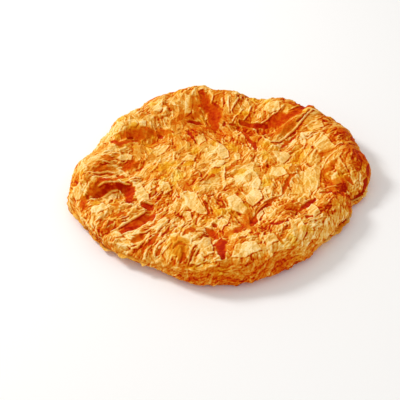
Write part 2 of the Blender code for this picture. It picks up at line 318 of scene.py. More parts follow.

# Patches where the sheet parts or lies smooth and buttery, sunk a little and painted red:
# partly butter-soaked crust and partly painted shade in these hollows and under the lips
# beside them. Half width, how red, then the places
PATCHES = (
    # left pocket
    (3.0, 1.1, (-120, -35), (-114, -30), (-108, -24)),
    (3.6, 1.25, (-118, -32), (-113, -26), (-107, -22), (-102, -18), (-95, -15), (-88, -16)),
    (5.0, 1.15, (-93, -16), (-87, -18), (-84, -24), (-84, -34), (-86, -40)),
    (1.1, 0.7, (-124, -27), (-123, -31)),
    (2.2, 0.85, (-99, -63), (-94, -61), (-89, -57)),
    (2.2, 0.9, (-105, -75), (-101, -70), (-98, -70)),
    (1.2, 0.8, (-86, -52), (-82, -47)),
    # front left
    (6.0, 0.95, (-90, -82), (-83, -78), (-76, -71), (-70, -64), (-62, -59)),
    (3.0, 1.2, (-88, -82), (-82, -78), (-77, -74)),
    (4.2, 1.15, (-72, -46), (-67, -48), (-64, -50)),
    (2.6, 0.9, (-66, -106), (-65, -103), (-61, -99), (-58, -94)),
    (2.2, 0.9, (-55, -100), (-52, -90), (-49, -81), (-46, -74)),
    (1.0, 0.95, (-51, -99), (-47, -91), (-43, -85), (-42, -80)),
    (2.0, 0.75, (-73, -108), (-71, -106), (-69, -104)),
    (1.6, 0.8, (-61, -117), (-59, -115), (-57, -112)),
    (1.3, 0.6, (-99, -91), (-98, -89)),
    # blister
    (2.6, 0.95, (-37, -125), (-38, -129), (-41, -132)),
    (1.6, 0.7, (-45, -117), (-39, -115), (-32, -117)),
    # front notch
    (4.4, 1.25, (-5, -105), (-6, -116), (-4, -133)),
    (3.6, 1.2, (-11, -113), (-6, -109), (-1, -111)),
    (3.2, 0.8, (-16, -85), (-12, -90), (-8, -99)),
    (2.2, 0.65, (13, -112), (18, -109), (23, -109)),
    (2.4, 0.85, (24, -109), (29, -108)),
    (1.3, 0.65, (-17, -132), (-10, -133)),
    (1.1, 0.9, (-12, -80), (-7, -83)),
    (1.3, 0.8, (-14, -56), (-13, -63), (-12, -70)),
    (1.3, 0.8, (-7, -53), (-4, -56)),
    (1.0, 0.8, (-4, -62), (2, -61)),
    (1.2, 0.8, (-4, -75), (0, -73)),
    # curved band
    (3.0, 1.05, (24, -90), (27, -78), (28, -73)),
    (2.2, 0.95, (28, -73), (32, -66), (38, -59), (44, -53)),
    (3.0, 0.95, (39, -60), (45, -54)),
    (1.8, 0.85, (45, -52), (50, -50), (55, -47)),
    (2.2, 0.75, (56, -46), (60, -35), (63, -27), (68, -22), (75, -19)),
    # slot
    (3.2, 1.6, (68, -72), (75, -67), (79, -62), (84, -57)),
    (0.9, 1.2, (59, -88), (66, -73), (70, -71)),
    (1.4, 1.3, (48, -79), (53, -80), (58, -84), (61, -89)),
    (2.6, 1.1, (40, -92), (47, -95), (54, -92)),
    (1.2, 0.9, (36, -107), (42, -105), (46, -103)),
    (1.3, 1.1, (71, -89), (76, -89)),
    (1.8, 0.6, (42, -110), (45, -117), (47, -122)),
    # right
    (2.4, 0.85, (90, -52), (97, -52), (103, -56)),
    (2.0, 0.7, (109, -52), (110, -59)),
    (2.2, 0.8, (116, -29), (120, -34), (122, -38)),
    # down the right side
    (4.2, 1.35, (140, -27), (138, -38), (134, -50)),
    (1.6, 1.4, (114, -90), (120, -83), (126, -74)),
    (1.3, 1.2, (102, -106), (106, -102)),
    (1.5, 1.3, (47, 0), (48, -5)),
    # basin
    (2.5, 1.15, (49, 69), (55, 65)),
    (2.0, 1.2, (83, 58), (90, 64), (97, 71)),
    (1.9, 1.05, (65, 30), (72, 38), (78, 41)),
    (1.5, 0.7, (80, 38), (83, 44)),
    (1.5, 0.75, (67, 17), (72, 20), (78, 28)),
    (1.7, 0.75, (91, 37), (96, 39), (102, 38)),
    (1.3, 0.8, (86, 21), (90, 29)),
    (2.0, 0.6, (66, 1), (75, 5)),
    (1.6, 0.6, (78, -5), (84, -2)),
    (1.3, 0.5, (94, -10), (100, -2)),
    # trough
    (1.3, 1.05, (0, 113), (6, 105), (11, 97), (14, 86)),
    (3.0, 1, (-9, 126), (-8, 116)),
    (2.5, 1.3, (-25, 85), (-18, 85), (-13, 85), (-9, 83)),
    (1.7, 1.1, (-32, 75), (-26, 70), (-22, 61), (-19, 48)),
    # furrow
    (2.0, 1.1, (12, 82), (12, 77)),
    (1.5, 0.9, (17, 77), (23, 77)),
    (2.8, 1.6, (28, 79), (34, 75), (42, 71), (51, 69)),
    (1.8, 1.1, (24, 73), (28, 64), (33, 51), (37, 40), (40, 26)),
    (1.3, 0.8, (9, 45), (14, 40)),
    # back left
    (2.5, 1.2, (-86, 59), (-81, 62)),
    (1.6, 0.9, (-56, 67), (-52, 64)),
    (1.6, 0.9, (-43, 72), (-39, 67)),
    (3.0, 0.7, (-70, 52), (-63, 45)),
    (2.0, 0.7, (-47, 107), (-44, 102)),
    # middle
    (1.7, 0.95, (-40, -37), (-38, -41)),
    (1.5, 0.8, (-50, -33), (-49, -35)),
    (1.3, 0.7, (-5, -55), (-3, -57)),
)

# Smooth dry facets of the sheet with straight sides: how pale, then the corners
PALE_FACETS = (
    (1, (-33, -33), (-33, -53), (-21, -67), (-14, -67), (-23, -38)),
    (1, (13, -40), (5, -48), (7, -62), (20, -61), (18, -48)),
    (0.95, (20, -59), (7, -62), (11, -67), (21, -72), (25, -68)),
    (1, (37, -52), (37, -38), (29, -36), (22, -46), (22, -55), (27, -60)),
    (0.85, (-6, -81), (-3, -92), (3, -85), (7, -71), (4, -66)),
    (0.9, (21, -94), (12, -108), (16, -110), (23, -102)),
    (0.85, (-11, -128), (-13, -100), (-19, -100), (-25, -123), (-19, -131)),
    (0.8, (-19, -134), (-22, -128), (-29, -130), (-32, -135), (-26, -138)),
    (0.8, (29, -128), (24, -118), (7, -120), (3, -133), (14, -135)),
    (0.8, (29, -70), (30, -80), (37, -70), (35, -66)),
    (1, (6, 44), (-1, 32), (5, 16), (12, 20), (12, 32)),
    (0.9, (22, 26), (17, 23), (18, 12), (23, 14)),
    (0.95, (-6, 8), (-5, 1), (3, 2), (8, 11), (0, 16)),
    (0.9, (-35, 19), (-22, 16), (-20, 25), (-27, 29)),
    (0.8, (-62, 35), (-58, 29), (-49, 38), (-44, 46), (-55, 46)),
    (0.95, (34, -38), (39, -26), (37, -15), (30, -26), (30, -34)),
    (0.8, (6, -3), (2, -5), (3, -30), (6, -26)),
    (1, (-75, -42), (-65, -38), (-67, -29), (-75, -12), (-81, -13), (-78, -33)),
    (0.6, (91, -41), (97, -7), (76, -16), (64, -28), (69, -46), (78, -53)),
    (0.8, (57, -92), (57, -114), (65, -118), (71, -108), (66, -93)),
    (0.9, (51, -6), (48, -16), (55, -21), (64, -19), (61, -7)),
    (0.75, (70, 94), (63, 101), (56, 96), (53, 88), (59, 81), (69, 83)),
    (0.75, (98, 57), (90, 50), (96, 43), (108, 44), (108, 55)),
    (0.75, (105, 34), (94, 21), (98, 6), (108, 6), (114, 9), (109, 25)),
    (0.8, (62, 1), (71, 11), (65, 21), (54, 20), (58, 6)),
    (0.9, (-26, 120), (-28, 90), (-21, 96), (-19, 117)),
    (0.9, (-5, 96), (-9, 90), (-7, 89), (-4, 92)),
    (0.85, (-85, 81), (-84, 73), (-78, 73), (-75, 78), (-79, 84)),
    (0.85, (-67, 83), (-74, 78), (-74, 73), (-68, 75)),
    (0.9, (-89, 32), (-97, 24), (-93, 22), (-83, 24), (-81, 30)),
    (0.85, (-54, 107), (-62, 102), (-53, 96), (-49, 101)),
    (0.85, (-65, -85), (-58, -90), (-49, -74), (-51, -68), (-58, -71)),
    (0.9, (-43, -94), (-49, -106), (-43, -110), (-41, -101)),
    (0.9, (-71, -97), (-68, -102), (-65, -93), (-66, -89)),
    (0.95, (-107, -44), (-118, -47), (-117, -54), (-112, -56), (-103, -53)),
    (0.85, (-130, -31), (-127, -22), (-130, -12), (-138, -15), (-136, -29)),
    (0.6, (-115, -4), (-120, -11), (-117, -16), (-113, -13)),
    (0.8, (-112, -25), (-103, -45), (-97, -24), (-103, -20)),
    (0.75, (-94, -78), (-101, -80), (-98, -89), (-90, -88)),
    (0.8, (-36, -61), (-33, -75), (-27, -73), (-29, -62)),
    (0.75, (31, -113), (34, -125), (45, -119), (41, -110)),
    (0.75, (74, -66), (75, -93), (85, -84), (81, -66)),
    (0.75, (103, -27), (104, -44), (112, -39), (110, -24)),
    (0.75, (-18, 57), (-16, 42), (-8, 51), (-11, 66)),
    (0.75, (-48, -17), (-55, -23), (-52, -34), (-44, -29)),
    (0.75, (-87, 14), (-95, 8), (-92, -3), (-84, 3)),
)

# Spots of clear gold: half width, how golden, then the places
GOLD_SPOTS = (
    (3.6, 1, (-54, 5), (-48, 13)),
    (4.0, 1, (-32, 10), (-25, 16)),
    (4.2, 1, (-7, -6), (1, -1)),
    (3.0, 0.9, (17, 32), (22, 36)),
    (5.0, 1, (41, -31), (46, -24)),
    (3.2, 0.8, (19, -56), (23, -62)),
    (3.5, 0.7, (64, -103), (74, -108)),
    (4.0, 0.8, (44, 16), (49, 8)),
    (4.0, 0.8, (-114, -43), (-111, -43)),
    (3.0, 0.8, (-128, -27), (-126, -31)),
    (4.0, 0.9, (-83, 73), (-76, 73)),
    (3.5, 0.8, (25, -6), (19, -7)),
    (10.0, 0.6, (-43, -106), (-40, -124)),
    (3.0, 0.8, (112, -25), (109, -30)),
    (3.0, 0.7, (5, -103), (2, -103)),
)

# Long thin crests that stand up by themselves: half width, height, then the places
CRESTS = (
    (1.0, 1.2, (-113, -18), (-108, -15), (-100, -13), (-93, -12), (-84, -16)),
    (0.8, 0.8, (-126, -24), (-123, -27)),
    (1.2, 1.4, (-122, -37), (-116, -37), (-112, -30), (-106, -24), (-101, -20), (-96, -18)),
    (1.3, 1.2, (-126, 1), (-119, 1), (-112, 3), (-105, 6), (-97, 5)),
    (0.9, 0.9, (-97, 11), (-90, 7), (-84, 0)),
    (0.7, 0.6, (-97, -20), (-98, -37), (-99, -45)),
    (0.7, 0.6, (-94, -18), (-90, -24), (-86, -43)),
    (1.1, 1.4, (-101, -80), (-95, -78), (-89, -74), (-83, -69), (-76, -63), (-69, -54)),
    (1.1, 1.3, (-83, -91), (-76, -90), (-69, -90), (-65, -86)),
    (1.0, 1, (-107, -63), (-99, -66), (-92, -68), (-85, -63)),
    (1.1, 1.2, (-71, -114), (-70, -111), (-69, -109), (-65, -106)),
    (1.1, 1.2, (-63, -119), (-63, -113), (-60, -109), (-56, -105), (-51, -102)),
    (1.0, 1.1, (-57, -117), (-53, -115), (-47, -111)),
    (1.1, 1.2, (-83, -103), (-77, -104), (-72, -100), (-69, -96)),
    (1.0, 1, (-57, -98), (-53, -90), (-50, -83), (-44, -73)),
    (1.1, 1.2, (-65, -94), (-60, -91), (-55, -80), (-49, -71)),
    (1.0, 1, (-38, -102), (-35, -87), (-30, -76)),
    (1.0, 1.1, (-35, -135), (-33, -131), (-31, -124), (-27, -116)),
    (0.9, 1, (-33, -136), (-29, -130), (-24, -121)),
    (0.9, 0.9, (-41, -103), (-39, -89), (-35, -75)),
    (0.9, 0.9, (-49, -126), (-47, -123), (-44, -125)),
    (1.2, 1.5, (100, 72), (93, 64), (86, 56), (78, 48), (71, 44), (63, 38)),
    (1.0, 1, (63, 38), (54, 36), (48, 45), (43, 55)),
    (0.9, 0.9, (82, 41), (76, 31), (68, 24)),
    (0.9, 0.7, (86, 43), (88, 32), (84, 19)),
    (0.9, 0.8, (91, 17), (100, 29), (105, 34)),
    (1.0, 0.9, (112, 2), (106, -1), (101, -7), (96, -17)),
    (0.9, 0.8, (118, -3), (114, -7), (117, -18), (119, -25)),
    (1.0, 1, (49, 72), (56, 75), (61, 79), (67, 82)),
    (1.0, 0.8, (77, 82), (85, 84), (94, 90)),
    (0.9, 0.9, (-17, 69), (-11, 66), (-7, 61), (-2, 50)),
    (1.1, 1.2, (19, 113), (18, 103), (18, 92)),
    (0.9, 0.9, (12, 113), (11, 101)),
    (0.9, 1, (29, 112), (24, 102), (20, 94)),
    (1.0, 1, (32, 95), (28, 90), (23, 85), (20, 80)),
    (1.0, 1.1, (41, 99), (37, 87), (32, 80)),
    (1.0, 0.9, (0, 125), (3, 117), (2, 112)),
    (0.9, 0.8, (-61, 77), (-58, 72)),
    (0.9, 0.8, (-109, 27), (-102, 31), (-94, 30)),
    (0.9, 0.7, (-104, 62), (-98, 64), (-92, 67)),
    (0.9, 0.7, (-55, 20), (-60, 6), (-65, 2)),
    (0.9, 0.7, (-33, 17), (-38, 9), (-41, 1)),
    (0.9, 0.7, (-9, -2), (-14, -13), (-18, -19)),
    (0.9, 0.7, (7, 4), (5, -12), (7, -26)),
    (0.8, 0.6, (-20, 17), (-23, 3)),
    (0.9, 0.8, (-34, -36), (-30, -33), (-24, -38)),
    (0.9, 0.8, (-20, -44), (-17, -54), (-14, -65)),
    (0.9, 0.8, (29, -70), (34, -63), (40, -57)),
    (0.9, 0.8, (14, -98), (18, -93), (21, -94)),
    (0.9, 0.8, (34, -79), (39, -89), (45, -85)),
    (0.9, 0.8, (51, -96), (56, -87), (63, -90)),
    (1.0, 0.9, (90, -47), (98, -44), (106, -45)),
    (0.9, 0.8, (82, -53), (87, -47), (90, -34)),
    (1.0, 1, (-75, -32), (-69, -42), (-64, -45)),
)


def around(path, margin):
    """The cells of the sheet round a line of places."""
    spans = []
    for along in zip(*path):
        ends = np.array((min(along) - margin, max(along) + margin)) + HALF_SHEET
        spans.append(slice(*np.clip(ends / SHEET_CELL, 0, SHEET_CELLS).astype(int)))
    return spans[1], spans[0]


def beside(path, margin):
    """The part of the sheet round a line of places: its cells, how far each is from the
    line, whose ends are square, and its width there, which narrows towards both ends."""
    cells = around(path, margin)
    x, y = sheet_x[cells], sheet_y[cells]
    far = np.full(x.shape, np.inf)
    run = np.zeros(x.shape)
    passed = 0.0
    for (x0, y0), (x1, y1) in zip(path, path[1:]):
        length = math.hypot(x1 - x0, y1 - y0)
        way_x, way_y = (x1 - x0) / length, (y1 - y0) / length
        along = (x - x0) * way_x + (y - y0) * way_y
        across = np.abs((y - y0) * way_x - (x - x0) * way_y)
        away = np.maximum(across, np.maximum(-along, along - length))
        run = np.where(away < far, passed + np.clip(along, 0.0, length), run)
        far = np.minimum(far, away)
        passed += length
    share = run / passed
    return cells, far, 0.5 + np.sqrt(share * (1.0 - share))


EDGE_MARGIN = 3.0


def painted(features, wander, soft_from, soft_over):
    """The strongest of the features at each place of the sheet, with wandering edges."""
    field = np.zeros_like(sheet_x)
    for half_width, strength, *path in features:
        cells, far, width = beside(path, 2.5 * half_width + EDGE_MARGIN)
        near = (far + wander[cells]) / (half_width * width)
        inside = strength * (1.0 - smooth((near - soft_from) / soft_over))
        field[cells] = np.maximum(field[cells], inside)
    return field


FACET_FADE = 0.8


def straight_sided(outlines, wander):
    """How much each place of the sheet lies in one of the flat facets. They end sharply at
    the lower right, and at the upper left they fade into the sheet that they fold out of."""
    field = np.zeros_like(sheet_x)
    for strength, *corners in outlines:
        cells = around(corners, EDGE_MARGIN)
        x, y = sheet_x[cells], sheet_y[cells]
        outside = np.full(x.shape, -np.inf)
        for (x0, y0), (x1, y1) in zip(corners, corners[1:] + corners[:1]):
            out_x, out_y = np.array((y1 - y0, x0 - x1)) / math.hypot(x1 - x0, y1 - y0)
            to_lower_right = LOWER_RIGHT[0] * out_x + LOWER_RIGHT[1] * out_y
            fade = FACET_FADE * (2.0 - to_lower_right)
            away = (x - x0) * out_x + (y - y0) * out_y + wander[cells]
            outside = np.maximum(outside, away / fade)
        inside = strength * (1.0 - smooth(0.5 + outside))
        field[cells] = np.maximum(field[cells], inside)
    return field


wander = 0.8 * cloudy(5, 10) + 0.5 * cloudy(7, 4)
smooth_patch = painted(PATCHES, 0.6 * wander, soft_from=0.6, soft_over=0.5)
wash = painted(WASHES, 0.8 * wander, soft_from=0.4, soft_over=0.9)
pale_facet = straight_sided(PALE_FACETS, 0.245 * wander)
gold_spot = painted(GOLD_SPOTS, wander, soft_from=0.6, soft_over=0.7)
lip = painted(PATCHES, wander, soft_from=1.1, soft_over=0.8)
lip *= 1.0 - smooth(smooth_patch / 0.5)

# Smooth places take less of the crumpling, and the front more of the fine folds
calm = 1.0 - 0.8 * smooth((np.maximum(smooth_patch, 0.9 * wash) - 0.15) / 0.9)
calm *= (1.0 - 0.45 * pale_facet) * (1.0 - 0.5 * gold_spot)
towards_front = smooth((60 - 0.95 * sheet_y - 0.3 * sheet_x) / 160)
busy = smooth(0.2 + 0.55 * cloudy(6, 18) + 0.45 * towards_front)

CRINKLES = 1500
CRINKLE_SEED = 80
CRINKLE_STRIDES = 3
STRIDE_LENGTHS = (1.2, 4.5)
CRINKLE_HALF_WIDTHS = (0.45, 0.8)
CRINKLE_HEIGHTS = (0.25, 0.8)
CRINKLED_RADIUS = 138


def short_crinkles():
    """Short thin crinkles all over the top, mostly along the lie of its creases."""
    chance = np.random.default_rng(CRINKLE_SEED)
    found = []
    while len(found) < CRINKLES:
        x, y = chance.uniform(-CRINKLED_RADIUS, CRINKLED_RADIUS, 2)
        cell = int((y + HALF_SHEET) / SHEET_CELL), int((x + HALF_SHEET) / SHEET_CELL)
        angle = lie[cell] + chance.normal(0, 0.45)
        bend = chance.normal(0, 0.015)
        height = chance.uniform(*CRINKLE_HEIGHTS) * (0.55 + 0.45 * busy[cell])
        path = [(x, y)]
        for _ in range(CRINKLE_STRIDES):
            stride = chance.uniform(*STRIDE_LENGTHS)
            x, y = x + stride * math.cos(angle), y + stride * math.sin(angle)
            angle += bend * stride + chance.normal(0, 0.08)
            path.append((x, y))
        if math.hypot(x, y) < CRINKLED_RADIUS:
            found.append((chance.uniform(*CRINKLE_HALF_WIDTHS), height, *path))
    return found


def raised_along(lines):
    """How far thin crests along those lines stand up at each place of the sheet."""
    field = np.zeros_like(sheet_x)
    for half_width, height, *path in lines:
        cells, far, width = beside(path, 4.0 * half_width)
        near = (far + 0.15 * wander[cells]) / (half_width * width)
        field[cells] = np.maximum(field[cells], height * np.exp(-np.abs(near) ** 1.5))
    return field


long_crest = raised_along(CRESTS)
crinkle = raised_along(short_crinkles())
crest = np.maximum(long_crest, crinkle * (1.0 - 0.7 * pale_facet))

# How far the sheet stands off the solid, in millimetres, the largest folds first
FACET_HEIGHT = 0.5
RIDGE_HEIGHT = 0.3
FOLD_HEIGHT = 0.36
WRINKLE_HEIGHT = 0.18
CREST_HEIGHT = 0.65
LIP_HEIGHT = 0.3
PATCH_DEPTH = 0.35
SCRAP_HEIGHT = 0.22
PALE_FACET_HEIGHT = 0.5
SHARPEN_LENGTH = 3.5

relief = FACET_HEIGHT * facets * (0.4 + 0.6 * calm)
relief += RIDGE_HEIGHT * blurred(ridges, 1.0) * calm
relief += FOLD_HEIGHT * folds * busy * calm
relief += WRINKLE_HEIGHT * wrinkles * (0.4 + 0.6 * busy) * calm
relief += CREST_HEIGHT * np.maximum(crest * calm, long_crest)
relief += LIP_HEIGHT * lip - PATCH_DEPTH * np.minimum(smooth_patch, 1.0)
steps_up = 0.6 * of_each(72, owner) + 0.5 * of_each(73, broad_owner)
steps_up += 0.35 * of_each(74, small_owner)
relief += SCRAP_HEIGHT * blurred(steps_up, 0.9) * calm
relief += PALE_FACET_HEIGHT * blurred(pale_facet, 1.0)
relief += 0.8 * (relief - blurred(relief, SHARPEN_LENGTH))

# Swells at the back right of the outline, the narrow ones a flap that stands up a little:
# middle, half width, height
SWELLS = (
    (98, 81, 2.6, 2.6), (101, 78, 3.0, 1.6), (105, 74, 4.0, 1.0), (112, 66, 14.0, 1.8),
)
for x, y, half_width, height in SWELLS:
    relief += height * spot(x, y, half_width)

# Places where the sheet is crinkled finely and unevenly baked: middle and half width
CRINKLED = ((-6, -58, 10), (-58, -22, 12), (40, -72, 14), (-50, -78, 16), (24, 60, 16))

# Regions painted paler or browner than the rest, partly as they baked and partly as painted
# light and shade on the broad slopes of the rim: middle, half width, by how much
REGIONS = (
    (0, 8, 50, 0.10), (-40, 92, 22, -0.10), (-75, 62, 30, -0.15), (-60, 125, 25, 0.15),
    (60, 112, 18, 0.15), (98, 62, 20, 0.10), (84, 12, 24, 0.10), (130, 25, 24, -0.25),
    (128, -20, 24, -0.20), (72, -25, 20, 0.25), (40, -25, 18, 0.10), (106, -42, 18, -0.20),
    (100, -88, 20, 0.10), (30, -110, 26, 0.10), (-112, -52, 16, 0.20), (-50, -95, 26, 0.15),
    (-118, 60, 20, 0.20), (-80, 82, 18, 0.28), (-62, 100, 14, 0.12), (-25, 68, 20, -0.17),
    (12, 72, 22, -0.20), (48, 64, 16, -0.17), (94, 84, 18, -0.68), (-52, -32, 16, -0.20),
    (0, -58, 9, -0.22), (38, -98, 12, -0.54), (-122, -10, 13, 0.50), (-92, 20, 14, 0.24),
    (-40, -60, 16, -0.24), (0, -82, 10, -0.36), (42, 0, 12, -0.24), (2, -18, 10, 0.24),
    (62, -50, 13, 0.42), (82, -80, 13, -0.50), (62, -120, 15, 0.38), (-60, -120, 12, 0.30),
    (4, -122, 12, -0.18), (-36, -24, 12, -0.14), (-48, -80, 10, -0.12),
    (120, 60, 14, -0.32), (84, 40, 10, 0.14), (20, -68, 10, 0.10), (-60, -40, 10, 0.12),
    (-80, -82, 12, 0.10), (-18, 108, 12, 0.10), (-60, 28, 16, 0.18), (-20, -112, 14, 0.33),
    (54, -134, 14, -0.30),
)

region = np.zeros_like(sheet_x)
region_wander = 6.0 * cloudy(9, 24)
for x, y, half_width, amount in REGIONS:
    far = np.hypot(sheet_x - x, sheet_y - y) + region_wander
    region += amount * np.exp(-((far / half_width) ** 2))

# The small differences in how pale each place is: partly how it bakes, crests drying out and
# grooves staying moist, and partly painted light: a painted highlight along the crests,
# painted shade in the grooves, and paler facets where they lean towards the lamp
grain = 0.3 * facets + 0.8 * lean_to_lamp(facets, 1.0) + 1.2 * ridges - 1.6 * grooves
grain += 0.8 * of_each(70, owner) + 0.6 * of_each(71, broad_owner)
grain += busy * (0.3 * lean_to_lamp(folds, 0.8) + 0.8 * fold_tops)
grain -= 1.0 * busy * fold_bottoms
grain += 1.0 * (0.3 + 0.7 * busy) * (wrinkle_tops - wrinkle_bottoms)
grain += 0.9 * threads * (0.4 + 0.6 * busy)
grain = calm * (grain - grain.mean()) / grain.std()

# The back left bakes most evenly, and the crinkled places least
quiet = spot(-40, 40, half_width=75)
contrast = 0.17 - 0.04 * quiet
for x, y, half_width in CRINKLED:
    contrast += 0.08 * spot(x, y, half_width)

# How pale each place is painted, from a red brown at 0 to a pale cream at 1: how it bakes,
# with painted light and shade laid over it
PLAIN_TONE = 0.53
FACET_TONE = 0.88
GOLD_TONE = 0.55
WASH_TONE = 0.27
PATCH_TONE = 0.02
CREST_TONE = 0.80
uneven = contrast * grain
tone = PLAIN_TONE + uneven + 0.9 * region + 0.06 * cloudy(8, 30)
tone += (FACET_TONE + 0.75 * uneven - tone) * 0.9 * pale_facet
tone += (GOLD_TONE + 0.1 * grain - tone) * 0.6 * gold_spot
# Crests and the lips round the patches are painted paler, partly as dry crust and partly as a
# painted highlight
tone += 0.32 * crest * (0.3 + 0.7 * calm) + 0.12 * lip
# Painted shadow on the lower right of the steps between scraps, of the crests and of the pale
# facets, and a weaker painted highlight on their upper left
shade = shaded_side(steps_up + 3.0 * crest) * calm + 3.2 * shaded_side(pale_facet)
shade = blurred(shade, 0.8)
tone -= np.where(shade > 0, 0.11, 0.07) * shade
tone += (1.1 - 0.6 * quiet) * (tone - blurred(tone, SHARPEN_LENGTH))
mottle = 0.04 * cloudy(12, 5) + 0.03 * cloudy(13, 2.5)
tone += (WASH_TONE - 0.17 * wash + mottle - tone) * np.minimum(1.3 * wash, 0.88)
# The patches are painted red brown, partly for the butter and partly as painted shade in the
# hollows
tone *= 1.0 - 0.78 * np.minimum(smooth_patch, 1.25)
tone += (PATCH_TONE + mottle) * np.minimum(smooth_patch, 1.0)
# Long crests are painted pale cream, partly as dry crust and partly as a painted highlight
tone += (CREST_TONE + 0.5 * uneven - tone) * np.clip(1.4 * long_crest - 0.5, 0.0, 0.8)
# Painted shade on the lower right flank of each long crest
tone -= 0.3 * np.clip(shaded_side(long_crest), 0.0, 1.0)

# The front of the side is painted an orange brown, darkest at the foot. The rest of it is only
# a little browner than the top, and the left of it paler
FRONT_SIDE_ANGLE = math.radians(280)
LEFT_SIDE_ANGLE = math.radians(200)
FRONT_TONE = 0.47
SIDE_START = 139.5
SIDE_WIDTH = 24
edge_of_side = SIDE_START + 1.5 * cloudy(14, 5) + 0.9 * cloudy(16, 2)
down_the_side = np.clip((sheet_radius - edge_of_side) / SIDE_WIDTH, 0.0, 1.0)
front_side = smooth((np.cos(sheet_angle - FRONT_SIDE_ANGLE) - 0.70) / 0.12)
front_side *= smooth(down_the_side / 0.12)
front_tone = FRONT_TONE - 0.26 * down_the_side + 0.55 * (tone - PLAIN_TONE)
front_tone += 0.09 * cloudy(17, 1.4)
tone += (front_tone - tone) * 0.9 * front_side
left_side = smooth((np.cos(sheet_angle - LEFT_SIDE_ANGLE) - 0.75) / 0.15)
past_the_rim = smooth((sheet_radius - 132) / 16)
tone -= 0.16 * past_the_rim * (1 - front_side) * (1 - 1.6 * left_side)

# Where butter soaked the crust it is a deep clear gold
gold = smooth(0.3 * cloudy(10, 9) + 0.3 * cloudy(11, 25) - 0.3 * towards_front)
gold = np.maximum(gold * (1.0 - pale_facet) * (1.0 - wash), gold_spot)
buttery_patch = np.maximum(smooth_patch, 0.7 * wash)

# ---------------------------------------------------------------- the crust
# The whole pastry, baked golden: one net of corners from the middle over the puffy rim,
# down the side and under. It is laid over the solid and then takes the folds of the sheet.

MM = 0.001
MIDDLE_SQUARES = 312
MIDDLE_SHARE = 0.6
RIM_ROWS = 80
SIDE_ROWS = 78
TOP_EDGE_INSET = 14.0
FOOT_INSET = 8.0
FOOT_HEIGHT = 0.15

# The net is laid on by rays: up from inside the dough for the top, and outwards from a
# line inside the rim for the side. They start a little off round numbers, clear of edges
INSIDE_HEIGHT = 5.0
SPINE_INSET = 24.0
SPINE_HEIGHT = 8.0
RAY_OFFSET = 0.017
OUTLINE_SLOTS = 116
EVEN_ROUNDS = 50
EVEN_PACE = 0.6

solid_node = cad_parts["feteer"]
solid = bmesh.new()
solid.from_mesh(solid_node.data)
solid_tree = BVHTree.FromBMesh(solid)
solid_corners = np.array([vertex.co for vertex in solid.verts]) / MM
solid.free()


def struck(starts, ways):
    """Where rays from those starts first meet the solid, in millimetres."""
    found = []
    for start, way in zip((starts + RAY_OFFSET) * MM, ways):
        place = solid_tree.ray_cast(Vector(start), Vector(way))[0]
        found.append(place if place is not None else start)
    return np.array(found) / MM


def disc_grid(squares):
    """A square grid bent onto a unit disc: each corner's share of the radius and angle."""
    line = np.linspace(-1.0, 1.0, squares + 1)
    a, b = np.meshgrid(line, line, indexing="ij")
    ring = np.maximum(np.abs(a), np.abs(b))
    safe = np.where(ring == 0.0, 1.0, ring)
    quarter = math.pi / 4
    wide = np.where(a > 0, quarter * b / safe, math.pi - quarter * b / safe)
    tall = np.where(b > 0, math.pi / 2 - quarter * a / safe, quarter * a / safe - math.pi / 2)
    return ring, np.where(np.abs(a) >= np.abs(b), wide, tall)


def reach(angle):
    """The solid's plan radius at an angle, smoothed a little from corner to corner."""
    corner_angle = np.arctan2(solid_corners[:, 1], solid_corners[:, 0])
    corner_radius = np.hypot(solid_corners[:, 0], solid_corners[:, 1])
    slot = np.floor((corner_angle + math.pi) / math.tau * OUTLINE_SLOTS).astype(int)
    widest = np.zeros(OUTLINE_SLOTS)
    np.maximum.at(widest, slot % OUTLINE_SLOTS, corner_radius)
    middles = (np.arange(OUTLINE_SLOTS) + 0.5) / OUTLINE_SLOTS * math.tau - math.pi
    return np.interp(angle, middles, widest, period=math.tau)


def struck_from_inside(plan):
    """Where rays straight up from inside the dough meet its top, over places in plan."""
    start = np.column_stack((plan, np.full(len(plan), INSIDE_HEIGHT)))
    return struck(start, np.tile((0.0, 0.0, 1.0), (len(start), 1)))


def outwards(angle):
    """Level directions out from the middle, at those angles."""
    return np.stack((np.cos(angle), np.sin(angle), np.zeros_like(angle)), -1)


def in_plan(radius, angle):
    """Places in plan at those radii and angles, in one list."""
    return (radius[..., None] * outwards(angle)[..., :2]).reshape(-1, 2)


ring, turn = disc_grid(MIDDLE_SQUARES)
middle_plan = in_plan(ring * MIDDLE_SHARE * (reach(turn) - TOP_EDGE_INSET), turn)
middle_places = struck_from_inside(middle_plan)

grid = np.arange(turn.size).reshape(turn.shape)
border_ids = np.concatenate((grid[:-1, 0], grid[-1, :-1], grid[:0:-1, -1], grid[0, :0:-1]))
columns = len(border_ids)
border_turn = turn.ravel()[border_ids]
border_reach = reach(border_turn)

rim_share = MIDDLE_SHARE + (1 - MIDDLE_SHARE) * np.arange(1, RIM_ROWS + 1) / RIM_ROWS
rim_plan = in_plan(rim_share[:, None] * (border_reach - TOP_EDGE_INSET), border_turn)
rim_places = struck_from_inside(rim_plan)
top_edge = rim_places.reshape(RIM_ROWS, columns, 3)[-1]

outward = outwards(border_turn)
spine = outward * (border_reach - SPINE_INSET)[:, None] + (0, 0, SPINE_HEIGHT)
first_tilt = np.arctan2(top_edge[:, 2] - SPINE_HEIGHT, SPINE_INSET - TOP_EDGE_INSET)
last_tilt = math.atan2(FOOT_HEIGHT - SPINE_HEIGHT, SPINE_INSET - FOOT_INSET)
side_places = []
for row in range(1, SIDE_ROWS + 1):
    tilt = first_tilt + (last_tilt - first_tilt) * row / SIDE_ROWS
    ways = outward * np.cos(tilt)[:, None] + np.outer(np.sin(tilt), (0, 0, 1))
    side_places.append(struck(spine, ways))
side_places = np.array(side_places)

